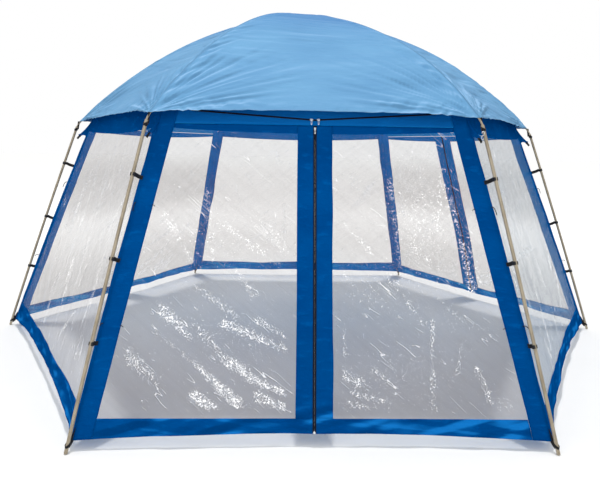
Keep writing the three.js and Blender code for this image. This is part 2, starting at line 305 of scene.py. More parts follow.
class Nodes:
    """A material's node tree around one Principled shader."""

    def __init__(self, name, **fixed):
        self.material = bpy.data.materials.new(name)
        self.material.use_nodes = True
        self.tree = self.material.node_tree
        self.shader = self.tree.nodes["Principled BSDF"]
        for socket, value in fixed.items():
            self.shader.inputs[socket.replace("_", " ")].default_value = value

    def add(self, kind, *inputs, **settings):
        node = self.tree.nodes.new("ShaderNode" + kind)
        for key, value in settings.items():
            setattr(node, key, value)
        for key, value in enumerate(inputs):
            self.put(node.inputs[key], value)
        return node

    def put(self, socket, value):
        if value is None:
            return
        if isinstance(value, bpy.types.NodeSocket):
            self.tree.links.new(value, socket)
        else:
            socket.default_value = value

    def named(self, kind, output, **inputs):
        """A node with inputs given by name."""
        node = self.add(kind)
        for key, value in inputs.items():
            self.put(node.inputs[key], value)
        return node.outputs[output]

    def math(self, operation, *values):
        return self.add("Math", *values, operation=operation).outputs[0]

    def times(self, a, b):
        return self.math("MULTIPLY", a, b)

    def plus(self, a, b):
        return self.math("ADD", a, b)

    def most(self, a, b):
        return self.math("MAXIMUM", a, b)

    def size(self, a):
        return self.math("ABSOLUTE", a)

    def off(self, a, middle):
        """How far a value is from its middle."""
        return self.size(self.math("SUBTRACT", a, middle))

    def spread(self, value, low, high, to_low=0.0, to_high=1.0):
        node = self.add("MapRange", value, low, high, to_low, to_high, interpolation_type="SMOOTHSTEP")
        return node.outputs[0]

    def uv(self, layer="cloth"):
        return self.add("UVMap", uv_map=layer).outputs[0]

    def place(self):
        return self.add("TexCoord").outputs["Object"]

    def attribute(self, name):
        return self.add("Attribute", attribute_name=name, attribute_type="GEOMETRY").outputs["Fac"]

    def parts(self, vector):
        return self.add("SeparateXYZ", vector).outputs

    def mapped(self, vector, scale, turn=0.0):
        return self.add("Mapping", vector, None, (0, 0, turn), scale).outputs[0]

    def noise(self, vector, scale, detail=3.0, roughness=0.5):
        return self.named("TexNoise", 0, Vector=vector, Scale=scale, Detail=detail, Roughness=roughness)

    def mix(self, share, low, high):
        node = self.add("Mix", data_type="RGBA")
        for key, value in ((0, share), (6, low), (7, high)):
            self.put(node.inputs[key], value)
        return node.outputs[2]

    def bump(self, height, strength, distance, normal=None):
        return self.named("Bump", 0, Strength=strength, Distance=distance, Height=height, Normal=normal)

    def done(self, **sockets):
        for socket, value in sockets.items():
            self.put(self.shader.inputs[socket.replace("_", " ")], value)
        return self.material


def rgb(*screen):
    """A colour of screen values from 0 to 255 as the linear colour that a shader takes."""
    shares = [c / 255 for c in screen]
    return (*(c / 12.92 if c <= 0.04045 else ((c + 0.055) / 1.055) ** 2.4 for c in shares), 1.0)


def darker(colour, times):
    return (*(c * times for c in colour[:3]), 1.0)


WHITE = rgb(255, 255, 255)
THREADS = 900  # of the weave, for each metre
STITCH_PITCH, STITCH_WIDTH = 0.004, 0.0007
PAINTED_SHADE_FROM, PAINTED_SHADE_TO = 1.35, 0.4  # painted shade darkens the canopy near its crown: none at the first of these lengths down the gores, full at the second
CROWN_PAINTED_SHADE = rgb(50, 110, 172)


def stitches(n, distance, along, offset):
    """A row of stitches at that distance from a seam: 1 on a thread."""
    line = n.spread(n.off(distance, offset), STITCH_WIDTH, STITCH_WIDTH * 0.4)
    dash = n.spread(n.math("SINE", n.times(along, 2 * math.pi / STITCH_PITCH)), -0.5, 0.0)
    return n.times(line, dash)


def cloth_material(name, dark, base, light, painted_highlight, thread, wrinkles, sheen=0.0, gloss=0.0, crown_painted_shade_share=0.0):
    """Coated tent cloth: plain weave, soft patches, creases with a painted sheen, and stitches beside its
    seams; painted highlight and shade from values given per point, and painted shade at the crown.
    """
    n = Nodes(name, Sheen_Weight=sheen, Sheen_Roughness=0.4, Specular_IOR_Level=gloss)
    uv = n.uv()
    seam, place = n.parts(n.uv("seam")), n.parts(uv)
    patches = n.noise(n.mapped(uv, (1.0, 1.6, 1.0)), 2.2, 4.0)
    creases = n.noise(n.mapped(uv, wrinkles, 0.35), 11.0, 5.0, 0.6)
    warp, weft = (n.math("SINE", n.times(place[i], THREADS * math.pi)) for i in (0, 1))
    weave = n.size(n.times(warp, weft))
    colour = n.mix(n.spread(patches, 0.3, 0.7), dark, base)
    # Painted sheen: a lighter colour along the creases.
    colour = n.mix(n.spread(creases, 0.52, 0.72, 0.0, 0.45), colour, light)
    colour = n.mix(n.times(weave, 0.12), colour, dark)
    # Painted shade: the canopy is mixed towards a darker blue near its crown.
    colour = n.mix(n.spread(place[1], PAINTED_SHADE_FROM, PAINTED_SHADE_TO, 0.0, crown_painted_shade_share), colour, CROWN_PAINTED_SHADE)
    # Painted highlight and shade: a lighter or darker colour from per-point values that follow the slopes of
    # the folds.
    painted_light_and_shade = n.attribute("painted_light_and_shade")
    colour = n.mix(n.spread(painted_light_and_shade, 0.0, 1.0, 0.0, 0.8), colour, painted_highlight)
    colour = n.mix(n.spread(painted_light_and_shade, 0.0, -1.0, 0.0, 0.6), colour, darker(dark, 0.70))
    along = n.plus(place[0], place[1])
    sewn = n.most(stitches(n, seam[0], along, 0.004), stitches(n, seam[0], along, 0.011))
    sewn = n.most(sewn, stitches(n, seam[1], along, 0.014))
    colour = n.mix(n.times(sewn, 0.6), colour, thread)
    welt = n.spread(n.math("MINIMUM", seam[0], seam[1]), 0.012, 0.016, 1.0, 0.0)
    normal = n.bump(n.plus(creases, n.times(welt, 0.12)), 0.55, 0.012)
    normal = n.bump(n.plus(weave, n.times(sewn, 2.0)), 0.25, 0.0004, normal)
    return n.done(Base_Color=colour, Roughness=n.spread(creases, 0.3, 0.8, 0.5, 0.66), Normal=normal)


def film_glints(n, tilted, flecks, creased):
    """Painted glints, white where a crease would catch the light: flecks and wrinkles, long crests, and
    dashed scratches.
    """
    raised = n.times(creased, 0.17)
    round_flecks = n.noise(n.mapped(tilted, (1.0, 1.5, 1.0), 0.5), 150.0, 2.0, 0.5)
    round_flecks = n.spread(n.plus(round_flecks, raised), 0.735, 0.770)
    flecks = n.most(n.spread(n.plus(flecks, raised), 0.712, 0.750), round_flecks)
    wrinkle = n.spread(n.off(n.noise(n.mapped(tilted, (1.0, 2.4, 1.0)), 26.0, 3.0), 0.5), 0.020, 0.006)
    wrinkle = n.times(wrinkle, n.spread(n.noise(tilted, 60.0, 2.0), 0.50, 0.58))
    wrinkle = n.times(wrinkle, n.spread(creased, 0.25, 0.7))
    crest = n.spread(n.off(n.noise(n.mapped(tilted, (0.9, 8.0, 1.0)), 2.1, 2.0), 0.5), 0.008, 0.002)
    crest = n.times(crest, n.spread(n.noise(n.mapped(tilted, (3.0, 5.0, 1.0)), 2.2, 2.0), 0.52, 0.6))
    scratch = n.spread(n.noise(n.mapped(tilted, (1.3, 24.0, 1.0)), 4.0, 4.0), 0.54, 0.74, 0.0, 0.34)
    dashes = n.spread(n.noise(n.mapped(tilted, (7.0, 26.0, 1.0), 0.7), 4.0, 2.0), 0.47, 0.58)
    uneven = n.spread(n.noise(tilted, 30.0, 2.0), 0.35, 0.6, 0.45, 1.0)
    glint = n.most(n.times(n.most(flecks, wrinkle), uneven), n.times(crest, 0.55))
    return n.most(glint, n.times(scratch, dashes))


def film_material():
    """Clear vinyl with haze, and small painted glints along its creases: white colour with a white glow."""
    n = Nodes("clear_film", Specular_IOR_Level=0.35, IOR=1.5, Emission_Color=WHITE)
    creased, clouding_and_painted_shade = n.attribute("glint"), n.attribute("haze")
    tilted = n.mapped(n.uv(), (1.0, 1.0, 1.0), FOLD_TURN)
    flecks = n.noise(n.mapped(tilted, (2.1, 0.7, 1.0)), 104.0, 2.5, 0.55)
    glint = film_glints(n, tilted, flecks, creased)
    streaks = n.noise(n.mapped(tilted, (1.0, 9.0, 1.0)), 3.0, 5.0, 0.62)
    haze = n.spread(streaks, 0.35, 0.8)
    milky = n.times(n.times(creased, n.spread(streaks, 0.3, 0.7)), 0.05)
    alpha = n.plus(n.plus(n.times(haze, 0.05), n.plus(clouding_and_painted_shade, 0.115)), milky)
    tint = n.spread(n.noise(n.mapped(tilted, (1.0, 5.0, 1.0), 0.1), 2.0, 4.0), 0.35, 0.65)
    tint = n.mix(tint, rgb(94, 94, 99), rgb(142, 141, 144))
    # Clouded film takes a darker tint; at a leaf's foot this is painted shade over the floor behind it.
    tint = n.mix(n.spread(clouding_and_painted_shade, 0.0, 0.05), tint, rgb(98, 78, 76))
    tint = n.mix(n.spread(clouding_and_painted_shade, 0.17, 0.20), tint, rgb(70, 110, 138))
    return n.done(
        # Painted glints: the film turns white and opaque and glows where the glint mask is high.
        Base_Color=n.mix(n.spread(glint, 0.1, 0.6), tint, WHITE),
        Alpha=n.most(alpha, glint),
        Roughness=n.spread(haze, 0.0, 1.0, 0.14, 0.30),
        Normal=n.bump(n.plus(streaks, n.times(flecks, 0.25)), 0.6, 0.01),
        Emission_Strength=n.spread(glint, 0.15, 0.9, 0.0, 0.45),
    )


def tube_material(name, base, light, metallic, rough):
    """Painted or drawn tube: faint lengthwise streaks, scuffs, and small specks."""
    n = Nodes(name, Metallic=metallic, Specular_IOR_Level=0.5)
    place = n.place()
    streaks = n.noise(n.mapped(n.uv(), (3.0, 260.0, 1.0)), 3.0, 4.0)
    blotches = n.noise(place, 9.0, 4.0)
    specks = n.spread(n.noise(place, 420.0, 2.0), 0.68, 0.76)
    colour = n.mix(n.spread(n.plus(streaks, blotches), 0.8, 1.2), base, light)
    return n.done(
        Base_Color=n.mix(n.times(specks, 0.5), colour, rgb(92, 84, 74)),
        Roughness=n.spread(blotches, 0.3, 0.7, rough, rough + 0.15),
        Normal=n.bump(n.plus(n.times(streaks, 0.4), specks), 0.2, 0.0006),
    )


def plastic_material(name, base, light, gloss=0.45):
    """Moulded plastic: a fine grain, and dust in soft patches."""
    n = Nodes(name, Specular_IOR_Level=gloss)
    place = n.place()
    dust = n.noise(place, 40.0, 5.0)
    return n.done(
        Base_Color=n.mix(n.spread(dust, 0.45, 0.8), base, light),
        Roughness=n.spread(dust, 0.3, 0.7, 0.38, 0.6),
        Normal=n.bump(n.noise(place, 900.0, 2.0), 0.3, 0.0003),
    )


def floor_material(name, base, light):
    """Pale studio floor that stays as bright far off as it is beside the house, with a faint painted glow
    near the middle that lightens the shade under the canopy.
    """
    n = Nodes(name, Specular_IOR_Level=0.0, Roughness=1.0, Emission_Color=WHITE)
    place = n.place()
    flat = n.add("VectorMath", place, (1.0, 1.0, 0.0), operation="MULTIPLY").outputs[0]
    far = n.add("VectorMath", flat, operation="LENGTH").outputs["Value"]
    return n.done(
        Base_Color=n.mix(n.noise(place, 3.0), base, light),
        # Painted light: a faint glow within two metres of the middle, under the canopy.
        Emission_Strength=n.plus(n.spread(far, 2.4, 9.0, 0.0, 0.25), n.spread(far, 1.0, 2.0, 0.10, 0.0)),
    )


def webbing_material(name, base, light):
    """Woven tape: ribs across its length."""
    n = Nodes(name, Sheen_Weight=0.1, Specular_IOR_Level=0.2)
    lengths = n.parts(n.uv())
    ribs = n.size(n.math("SINE", n.times(lengths[0], 1800.0)))
    rows = n.size(n.math("SINE", n.times(lengths[1], 2600.0)))
    fibres = n.times(ribs, rows)
    fuzz = n.noise(n.place(), 300.0, 3.0)
    colour = n.mix(n.times(fibres, 0.5), base, light)
    return n.done(
        Base_Color=n.mix(n.spread(fuzz, 0.5, 0.8, 0.0, 0.3), colour, light),
        Roughness=n.spread(fuzz, 0.3, 0.7, 0.6, 0.8),
        Normal=n.bump(fibres, 0.5, 0.0006),
    )


def metal_material(name, base, rough):
    """Cast metal, brushed one way and worn brighter in patches."""
    n = Nodes(name, Metallic=0.6)
    place = n.place()
    wear = n.noise(place, 120.0, 4.0)
    brushed = n.noise(n.mapped(place, (40.0, 40.0, 900.0)), 1.0, 2.0)
    return n.done(
        Base_Color=n.mix(n.spread(wear, 0.4, 0.7), base, rgb(236, 238, 240)),
        Roughness=n.spread(wear, 0.3, 0.7, rough, rough + 0.14),
        Normal=n.bump(brushed, 0.15, 0.0003),
    )


FOLD_TURN = math.radians(40)
ROOF = cloth_material(
    "canopy_cloth", rgb(99, 152, 195), rgb(108, 161, 202), rgb(118, 169, 208), rgb(141, 185, 223),
    rgb(130, 173, 213), (0.5, 2.2, 1.0), sheen=0.02, gloss=0.05, crown_painted_shade_share=0.62,
)
BLUE = cloth_material(
    "blue_cloth", rgb(0, 66, 132), rgb(0, 77, 146), rgb(1, 98, 176), rgb(22, 124, 206),
    rgb(6, 66, 126), (1.0, 2.6, 1.0),
)
# A lighter blue for inner faces in shade: painted light standing in for light coming through the cloth.
PAINTED_LIGHT_BACKING = cloth_material(
    "blue_cloth_backing_painted_light", rgb(0, 124, 204), rgb(2, 138, 222), rgb(10, 150, 230), rgb(50, 172, 236),
    rgb(4, 98, 164), (1.0, 2.6, 1.0),
)
FILM = film_material()
STEEL = tube_material("painted_steel", rgb(152, 140, 120), rgb(180, 168, 146), 0.35, 0.34)
ROD = tube_material("fibre_rod", rgb(150, 138, 118), rgb(176, 164, 142), 0.0, 0.4)
PLASTIC = plastic_material("black_plastic", rgb(12, 13, 17), rgb(32, 34, 40))
TEETH = plastic_material("zip_teeth", rgb(4, 8, 20), rgb(10, 17, 36), gloss=0.12)
WEBBING = webbing_material("black_webbing", rgb(14, 14, 17), rgb(46, 47, 52))
TAPE = webbing_material("zip_tape", rgb(3, 9, 24), rgb(9, 19, 42))
METAL = metal_material("zip_metal", rgb(226, 228, 231), 0.30)
FLOOR = floor_material("studio_floor", rgb(242, 242, 241), rgb(245, 245, 244))


# ---------------------------------------------------------------- walls

hem_noise, wall_noise = Field(11), Field(12)
fold_noise, crumple_noise, glint_noise = Field(21), Field(22), Field(23)
HEM_RISE = {0: 0.030, 1: 0.055, 2: 0.030, 3: 0.026, 4: 0.030, 5: 0.055}  # of each wall's hem in its middle
RAGGED_RISE = {1: 0.045, 3: 0.018, 5: 0.045}  # how far a fixed wall's bottom band stands above BAND_TOP
PULL_ON_DOOR, PULL_ON_PANE = 0.040, 0.025  # how far the hem hangs inwards
SLOPE_STEP = 0.006  # over which a band's tilt is measured
FILM_STEP = 0.0125
TAPE_OUT, TEETH_OUT, SLIDER_OUT = 0.0014, 0.0026, 0.0032  # heights above the cloth


def is_door(sector):
    return sector % 2 == 0


def share_across(u, z):
    """0 at the wall's corners and 1 in its middle."""
    return 1 - np.clip(np.abs(u) / half_width(z), 0, 1) ** 2


def hem_height(sector, u):
    ripple = 0.004 * hem_noise(u * 6 + sector * 17, sector * 3.7 + 0.5) * share_across(u, HEM)
    return HEM + HEM_RISE[sector] * share_across(u, HEM) + ripple


def film_top(u):
    return 1.612 + 0.022 * np.minimum(np.abs(u) / 0.78, 1.1) ** 2


def wall_out(sector, u, z):
    """How far the hanging wall stands out of its plane: pulled in at the hem, with slow waves."""
    middle = share_across(u, z)
    low = 1 - smooth(z, 0.03, 0.75)
    pull = -(PULL_ON_DOOR if is_door(sector) else PULL_ON_PANE) * middle * low
    waves = wall_noise(u * 3.1 + sector * 11.3, z * 1.3 + 4.0) * 0.006 * smooth(middle, 0.0, 0.3)
    waves = waves * (1 - smooth(z, 1.45, 1.62))
    folds = wall_noise((u + z) * 9 + sector * 5, (u - z) * 4) * 0.0035 * low * smooth(middle, 0.0, 0.2)
    slack = wall_noise((u + 1.5 * z) * 5.5 + sector * 9, (z * 2.4 - u * 0.6) * 10) * 0.0062
    if not is_door(sector):
        slack = 0.5 * (slack + wall_noise(u * 12 + z * 3, z * 4 + sector) * 0.0020)
    slack = slack * (1 - smooth(z, 0.15, 0.26)) * smooth(middle, 0.0, 0.15)
    crosswise = wall_noise(u * 3 + sector * 4, z * 7 + u * 5) * 0.0022 * (1 - smooth(z, 1.5, 1.64))
    return pull + waves + folds + slack + crosswise


def wall_points(sector, u, z, w=0.0):
    return on_wall(sector, u, z, wall_out(sector, u, z) + w)


def band(name, sector, u, z, body, w=0.0, seam=(1.0, 1.0), thickness=0.0012, slot="blue_cloth", material=None,
         painted_brightening=0.0, streaks=0.0):
    """A sewn strip on a wall, from grids of u and z: lined cloth, or another material, with painted highlight
    and shade from its slopes, painted sheen streaks and a painted brightening.
    """
    obj = grid(name, wall_points(sector, u, z, w), material or BLUE, np.stack([u, slope(z)], -1),
               flip=bool(u[0, -1] < u[0, 0]))
    seam_layer(obj, np.stack(np.broadcast_arrays(*seam, u)[:2], -1))
    tilt = (wall_out(sector, u, z + SLOPE_STEP) - wall_out(sector, u, z - SLOPE_STEP)) / (2 * SLOPE_STEP)
    sway = (wall_out(sector, u + SLOPE_STEP, z) - wall_out(sector, u - SLOPE_STEP, z)) / (2 * SLOPE_STEP)
    # Painted light and shade: lighter or darker by the slopes of the cloth's folds, painted sheen streaks,
    # and a painted brightening.
    painted_sheen = smooth(glint_noise(u * 5 + sector * 3, z * 58 + u * 7), 0.12, 0.50)
    per_point(obj, "painted_light_and_shade", np.clip(painted_brightening + streaks * painted_sheen - 4.5 * tilt + 3.5 * sway, -1, 1))
    # A cloth band's inner face takes the lighter blue of painted light.
    thicken(obj, thickness, backing=None if material else PAINTED_LIGHT_BACKING)
    return finish(obj, body, slot)


def rows_between(low, high, u, count):
    """Grids of u and z: z runs from low(u) to high(u)."""
    t = np.linspace(0, 1, count)[:, None]
    low, high = np.broadcast_to(low, u.shape), np.broadcast_to(high, u.shape)
    return np.broadcast_to(u[None], (count, len(u))), low[None] * (1 - t) + high[None] * t


def grid_steps(length, step):
    return max(2, int(round(abs(length) / step)) + 1)


# Creases that catch the light, in the left leaf and the right one: where each starts and ends, as distance
# from the zip and height, and how dense its glints are
CREASES = {
    -1: (
        (0.80, 0.66, 0.66, 0.54, 1.00), (0.85, 0.58, 0.64, 0.42, 0.55), (0.64, 0.42, 0.40, 0.23, 1.00),
        (0.64, 0.61, 0.47, 0.43, 0.70), (0.47, 0.43, 0.30, 0.33, 1.00), (0.30, 0.33, 0.10, 0.26, 1.00),
        (0.48, 0.61, 0.10, 0.47, 1.00), (0.32, 0.64, 0.10, 0.52, 0.85), (0.65, 0.80, 0.42, 0.65, 0.65),
        (0.63, 0.27, 0.50, 0.17, 1.00), (0.29, 0.26, 0.10, 0.18, 0.95), (0.58, 1.17, 0.19, 0.90, 0.70),
        (0.59, 1.28, 0.55, 0.92, 0.70), (0.82, 1.17, 0.66, 0.92, 0.50), (0.43, 0.88, 0.32, 0.75, 0.60),
    ),
    1: (
        (0.12, 0.62, 0.16, 0.46, 0.70), (0.12, 0.37, 0.24, 0.33, 0.95), (0.20, 0.28, 0.40, 0.23, 0.70),
        (0.17, 0.23, 0.43, 0.17, 0.70), (0.12, 0.21, 0.21, 0.17, 1.00), (0.31, 0.39, 0.39, 0.33, 0.70),
        (0.63, 0.64, 0.62, 0.18, 0.30), (0.70, 1.37, 0.66, 0.78, 0.30), (0.52, 1.01, 0.68, 0.90, 0.75),
        (0.27, 1.17, 0.38, 1.11, 0.65), (0.17, 1.12, 0.31, 0.98, 0.65), (0.39, 0.85, 0.46, 0.79, 0.70),
        (0.50, 0.72, 0.58, 0.62, 0.65), (0.78, 0.50, 0.76, 0.38, 0.55), (0.70, 1.40, 0.78, 1.15, 0.75),
        (0.78, 1.15, 0.85, 0.80, 0.85), (0.84, 1.12, 0.90, 0.84, 0.70), (0.42, 1.36, 0.46, 0.90, 0.60),
        (0.12, 0.90, 0.17, 0.84, 0.60), (0.86, 0.40, 0.93, 0.24, 0.45),
    ),
}
# Parts of a leaf with loose painted glint flecks: distance from the zip, height, half width, half height, how
# dense
SPECKLED = {
    -1: ((0.58, 1.05, 0.30, 0.28, 0.42), (0.40, 0.55, 0.32, 0.22, 0.34)),
    1: ((0.60, 1.18, 0.28, 0.36, 0.56), (0.42, 0.84, 0.30, 0.22, 0.44), (0.45, 0.36, 0.34, 0.20, 0.36)),
}
SIDE_HAZE = {1: 0.24, 5: 0.12}  # the fixed walls beside the front door are cloudier
GRAIN = {1: 52, 3: 0, 5: 38}  # degrees by which a fixed wall's folds and streaks are turned


def film_haze_and_painted_shade(sector, z):
    """Extra clouding: all over a side pane, and on a leaf near its foot and at eye level; with its darker
    tint, the clouding at a leaf's foot is painted shade over the floor seen through it.
    """
    if not is_door(sector):
        return SIDE_HAZE.get(sector, 0.0) * (1.25 - 0.25 * smooth(z, 0.5, 1.0))
    # Painted shade: darker clouding at a leaf's foot.
    foot = 0.16 * (1 - smooth(z, 0.25, 0.70))
    return foot + 0.15 * smooth(z, 0.80, 1.05) * (1 - smooth(z, 1.25, 1.50))


def crease_field(u, z, creases, reach=0.042):
    """How dense the glints are at each point, and the height of the creases themselves."""
    glint, crest = np.zeros(u.shape), np.zeros(u.shape)
    wander = 0.016 * glint_noise(u * 9, z * 9)
    for u0, z0, u1, z1, strength in creases:
        du, dz = u1 - u0, z1 - z0
        t = np.clip(((u - u0) * du + (z - z0) * dz) / (du * du + dz * dz), 0, 1)
        off = np.hypot(u - u0 - t * du, z - z0 - t * dz)
        broad = reach * min(1.0, 0.2 + strength)
        inside = 1 - smooth(off + wander * broad / reach, 0.1 * broad, broad)
        glint = np.maximum(glint, max(strength, 0.7) * inside)
        crest = np.maximum(crest, strength * np.exp(-((off / 0.016) ** 2)))
    return glint, crest


def scattered_creases(seed, reach, count=16):
    """Creases of a fixed wall: mostly steep, denser low down."""
    draw = np.random.default_rng(seed)
    creases = []
    for _ in range(count):
        u = draw.uniform(-reach, reach)
        z = 0.22 + 1.1 * draw.uniform() ** 1.6
        length = draw.uniform(0.12, 0.42)
        lean = draw.normal(0.0, 0.35) + 0.5 * u / reach
        end = u + math.sin(lean) * length, z + math.cos(lean) * length
        creases.append((u, z, *end, draw.uniform(0.45, 0.95)))
    return creases


def film(name, sector, edges, low, lap, body, creases, covered=BAND_TOP, turn=0.0):
    """A clear pane between its two edges(z), from low to above its top band's foot by the lap.

    It is crumpled in long slanting folds, and flat where it is sewn."""
    start, end = edges(EYE_LEVEL)
    t, s = np.meshgrid(
        np.linspace(0, 1, grid_steps(1.5, FILM_STEP)), np.linspace(0, 1, grid_steps(end - start, FILM_STEP)),
        indexing="ij",
    )
    left, right = edges(low + (1.62 - low) * t)
    z = low + (film_top(left + (right - left) * s) + lap - low) * t
    left, right = edges(z)
    u = left + (right - left) * s
    seed = sector * 13.7 + start * 6.3
    along = u * math.cos(FOLD_TURN + turn) - z * math.sin(FOLD_TURN + turn)
    athwart = u * math.sin(FOLD_TURN + turn) + z * math.cos(FOLD_TURN + turn)
    inside = np.minimum(u - left, right - u) - 0.012
    edge = smooth(np.minimum(inside, np.minimum(z - covered, film_top(u) - z)), 0, 0.10)
    long_folds = fold_noise(along * 1.6 + seed, athwart * 9.5 + seed)
    small = crumple_noise(along * 8 + seed, athwart * 26 - seed)
    tiny = crumple_noise(along * 30 - seed, athwart * 44 + seed)
    hang = fold_noise(u * 12 + seed, z * 1.5)
    glint, crest = crease_field(u, z, creases)
    if is_door(sector):
        for far, high, wide, tall, strength in SPECKLED[1 if start > 0 else -1]:
            near = np.exp(-(((np.abs(u) - far) / wide) ** 2) - ((z - high) / tall) ** 2)
            glint = np.maximum(glint, strength * near)
    w = (0.0075 * long_folds + 0.0026 * small + 0.0011 * tiny + 0.003 * hang + 0.004 * crest) * edge
    flank = smooth(fold_noise(along * 1.6 + seed, athwart * 9.5 + seed + 0.35) - long_folds, -0.15, 0.45)
    patch = smooth(glint_noise(along * 3 + seed, athwart * 14 - seed), 0.05, 0.6)
    glint = np.maximum(glint, 0.9 * flank * patch * (1.1 - 0.4 * z)) * smooth(edge, 0.1, 0.6)
    c, s = math.cos(turn), math.sin(turn)
    uv = np.stack([u * c - slope(z) * s, u * s + slope(z) * c], -1)
    obj = grid(name, wall_points(sector, u, z, w - 0.0016), FILM, uv)
    per_point(obj, "glint", np.clip(glint, 0, 1))
    # Clouding per point, which near a leaf's foot is painted shade.
    per_point(obj, "haze", film_haze_and_painted_shade(sector, z))
    return finish(obj, body, "clear_film")


def door_half(door, word, sector, side):
    """One leaf: bottom band, zip border and top band of cloth round a film pane. side is -1 left, 1 right."""
    name = body = f"{door}_{word}"
    lap = 0.006

    def outer(z):
        return half_width(z) - STRIP_ON_DOOR - 0.0003

    def squeezed(u, z, inner, at):
        """A row's u squeezed with height, to stay inside the leaf's slanting edge."""
        return side * (inner + (np.abs(u) - inner) * (outer(z) - inner) / (outer(at) - inner))

    def edges(z):
        near, far = BORDER - lap, outer(z)
        return (near, far) if side > 0 else (-far, -near)

    low_u = np.linspace(ZIP_HALF, outer(HEM), grid_steps(outer(HEM), 0.012)) * side
    u, z = rows_between(hem_height(sector, low_u), BAND_TOP, low_u, 20)
    u = squeezed(u, z, ZIP_HALF, HEM)
    seam = (BAND_TOP - z, z - hem_height(sector, u))
    # Painted sheen streaks on the bottom band.
    base = band(f"{name}_bottom_band", sector, u, z, body, seam=seam, streaks=0.45)
    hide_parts(f"{name}_half")

    heights = np.linspace(BAND_TOP - 0.001, DOOR_TOP, grid_steps(DOOR_TOP - BAND_TOP, 0.014))
    s, z = np.meshgrid(np.linspace(0, 1, 10), heights)
    edge_wave = 0.003 * hem_noise(z * 5 + sector * 3 + side, side * 2.2)
    width = BORDER + edge_wave * (1 - smooth(z, 1.4, 1.6))
    u = side * (ZIP_HALF + (width - ZIP_HALF) * s)
    border = band(f"{name}_zip_border", sector, u, z, body, w=0.0003, seam=(width * (1 - s), 1.0))

    top_width = outer(TOP_BAND_AT) - BORDER
    top_u = np.linspace(BORDER, outer(TOP_BAND_AT), grid_steps(top_width, 0.014)) * side
    u, z = rows_between(film_top(top_u), DOOR_TOP, top_u, 6)
    u = squeezed(u, z, BORDER, TOP_BAND_AT)
    top = band(f"{name}_top_band", sector, u, z, body, seam=(z - film_top(u), 1.0))

    creases = [(side * u0, z0, side * u1, z1, share) for u0, z0, u1, z1, share in CREASES[side]]
    pane = film(f"{name}_film", sector, edges, BAND_TOP - lap, lap, body, creases)


def zip_height(u):
    return TOP_ZIP + TOP_ZIP_RISE * np.abs(u)


def roof_meet(sector, u, roof):
    """Height at which a wall's cloth meets the canopy's underside."""
    heights = []
    up = Vector(wall_axes(sector)[1])
    for place in on_wall(sector, u, np.full(np.shape(u), 1.70)):
        hit = roof.ray_cast(Vector(place), up, 0.4)[0]
        heights.append(min(hit.z - 0.006, WALL_TOP) if hit else 1.75)
    heights = np.array(heights)
    lowest = np.minimum(heights, np.minimum(np.roll(heights, 1), np.roll(heights, -1)))
    lowest[0], lowest[-1] = min(heights[:2]), min(heights[-2:])
    return lowest


def zip_tape(name, sector, u, z, body):
    band(name, sector, u, z, body, TAPE_OUT, thickness=0.0009, slot="black_plastic", material=TAPE)


def header(door, sector, roof):
    """Cloth over a doorway, with the level zip across it."""
    wide = 1.75  # height at which the header's width is taken

    def outer(z):
        return half_width(z) - STRIP_ON_DOOR + 0.004

    u0 = np.linspace(-outer(wide), outer(wide), grid_steps(2 * outer(wide), 0.013))
    u, z = rows_between(1.6635, roof_meet(sector, u0 * 0.98, roof), u0, 18)
    u = u * outer(z) / outer(wide)
    seam = (np.abs(z - zip_height(u)) - LEVEL_ZIP_HALF + 0.002, 1.0)
    # The header is painted lighter, standing in for light on cloth that lies in the eave's shade.
    cloth = band(f"{door}_header_cloth", sector, u, z, "house", seam=seam, painted_brightening=0.5)
    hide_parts(f"{door}_header")
    u0 = np.linspace(-0.70, 0.70, 141)
    u, z = rows_between(zip_height(u0) - LEVEL_ZIP_HALF, zip_height(u0) + LEVEL_ZIP_HALF, u0, 5)
    zip_tape(f"{door}_level_zip_tape", sector, u, z, "house")
    along = np.linspace(-0.695, 0.695, 464)
    coil(f"{door}_level_zip_coil", sector, along, zip_height(along), "house")


def coil(name, sector, u, z, body):
    """A zip's teeth: short crossbars along a line on the wall."""
    corners = np.array([(-1, -1), (1, -1), (1, 1), (-1, 1)])
    foot, top = corners * (0.0009, 0.0026), corners * (0.0006, 0.0020)
    tooth = np.concatenate([np.insert(foot, 2, -0.0007, axis=1), np.insert(top, 2, 0.0008, axis=1)])
    sides = [[i, (i + 1) % 4, 4 + (i + 1) % 4, 4 + i] for i in range(4)]
    box = np.array([[0, 3, 2, 1], [4, 5, 6, 7], *sides])
    middle = wall_points(sector, u, z, TEETH_OUT)
    run, out = unit(np.gradient(middle, axis=0)), wall_axes(sector)[2]
    axes = np.stack([run, np.cross(run, out), np.broadcast_to(out, run.shape)], 1)
    points = middle[:, None] + tooth @ axes
    faces = (np.arange(len(middle))[:, None, None] * 8 + box[None]).reshape(-1, 4)
    finish(make(name, points.reshape(-1, 3), faces, TEETH, shade=False), body, "black_plastic")


def upright_zip(door, sector):
    """Half the black tape rides on each leaf; the coil rides on the left one."""
    foot = hem_height(sector, 0)
    for word, side in (("left", -1), ("right", 1)):
        inner, outer = side * 0.0005, side * (ZIP_HALF + 0.001)
        s, z = np.meshgrid(np.linspace(0, 1, 4), np.linspace(foot + 0.004, DOOR_TOP - 0.001, 130))
        zip_tape(f"{door}_{word}_zip_tape", sector, inner + (outer - inner) * s, z, f"{door}_{word}")
    z = np.linspace(foot + 0.012, DOOR_TOP - 0.004, 520)
    coil(f"{door}_upright_zip_coil", sector, np.zeros_like(z), z, f"{door}_left")
    outline = [(-0.005, -0.006), (0.005, -0.006), (0.006, 0.003), (0.002, 0.007), (-0.002, 0.007),
               (-0.006, 0.003)]
    stop = wall_points(sector, 0.0, foot + 0.006, 0.003)
    wall_block(f"{door}_zip_stop", sector, stop, outline, 0.004, f"{door}_left")


